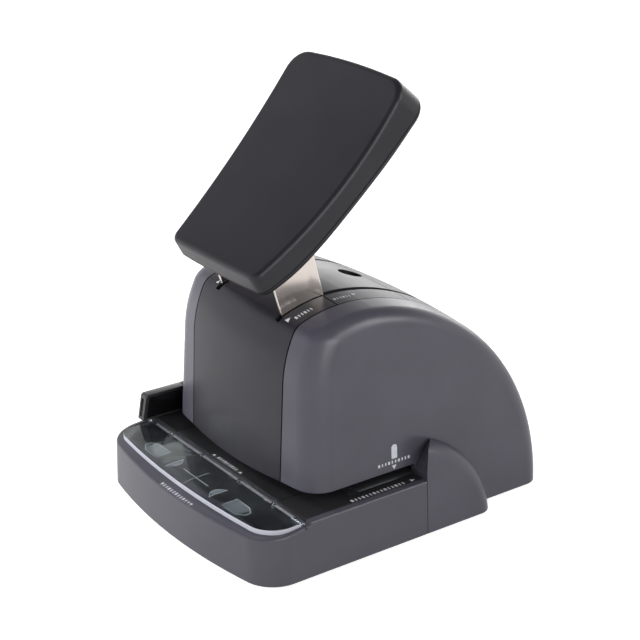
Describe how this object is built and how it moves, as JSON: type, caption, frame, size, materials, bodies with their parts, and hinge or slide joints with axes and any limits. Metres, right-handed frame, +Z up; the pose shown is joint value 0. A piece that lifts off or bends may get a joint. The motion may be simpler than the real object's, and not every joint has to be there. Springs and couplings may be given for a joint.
{
  "type": "lever binding punch",
  "caption": "Desk machine with a large tilting hand lever that pushes a guarded ram down over a front paper slot, with a clear position plate and a sliding side guide.",
  "frame": {"origin": "centre of the bounding box at the underside of the rubber feet", "axes": "+X to the user's right, -Y towards the user and the paper side, +Z up"},
  "size_m": [0.1558, 0.1982, 0.2309],
  "materials": {
    "cover_plastic": "fine spark-eroded texture",
    "front_plastic": "satin",
    "base_plastic": "fine spark-eroded texture",
    "deck_plastic": "satin",
    "black_plastic": "polished",
    "pad_plastic": "fine spark-eroded texture",
    "clear_plastic": "clear polished acrylic",
    "guide_plastic": "satin",
    "bare_steel": "brushed",
    "tool_steel": "ground",
    "plated_steel": "zinc plated",
    "brass_bush": "turned",
    "rubber": "moulded"
  },
  "bodies": {
    "base": {"base_shell": "base_plastic", "base_floor": "black_plastic", "rubber_feet": "rubber", "floor_screws": "plated_steel", "deck_plate": "deck_plastic", "paper_bed": "black_plastic", "die_plate": "tool_steel", "die_supports": "plated_steel", "plate_pins": "clear_plastic", "guide_channel": "plated_steel", "frame_right": "plated_steel", "frame_left": "plated_steel", "chassis_plate": "plated_steel", "chassis_screws": "plated_steel", "frame_rods": "plated_steel", "stop_sleeves": "rubber", "head_floor": "plated_steel", "post_bridge": "plated_steel", "guide_posts": "tool_steel", "return_springs": "tool_steel", "pivot_shaft": "tool_steel", "pivot_bushes": "brass_bush", "shaft_clips": "plated_steel", "cover_screws": "plated_steel", "front_cover": "front_plastic", "rear_cover": "front_plastic", "side_cover_left": "cover_plastic", "side_cover_right": "cover_plastic", "throat_wall": "black_plastic"},
    "lever": {"lever_bracket": "bare_steel", "drive_pins": "tool_steel", "pad_top": "pad_plastic", "pad_bottom": "pad_plastic", "pad_screws": "plated_steel"},
    "ram": {"ram": "plated_steel", "tongue_cutters": "tool_steel", "slit_blades": "tool_steel", "cutter_screws": "plated_steel"},
    "position_plate": {"position_plate": "clear_plastic"},
    "side_guide": {"paper_guide": "guide_plastic", "guide_insert": "black_plastic", "guide_bar": "plated_steel"}
  },
  "joints": [
    {"name": "lever_swing", "type": "hinge", "parent": "base", "child": "lever", "pos_m": [0, -0.0187, 0.058], "axis": [-1, 0, 0], "range_deg": [0, 36]},
    {"name": "ram_slide", "type": "slide", "parent": "base", "child": "ram", "axis": [0, 0, -1], "range_m": [0, 0.01574], "stiffness_N_per_m": 900, "springref_m": -0.012, "deforming": ["return_springs"]},
    {"name": "plate_hinge", "type": "hinge", "parent": "base", "child": "position_plate", "pos_m": [0, -0.067, 0.0282], "axis": [-1, 0, 0], "range_deg": [0, 75]},
    {"name": "guide_slide", "type": "slide", "parent": "base", "child": "side_guide", "axis": [-1, 0, 0], "range_m": [0, 0.059]}
  ],
  "couplings": [
    {"joint": "ram_slide", "follows": "lever_swing", "m_per_rad": 0.025016}
  ]
}
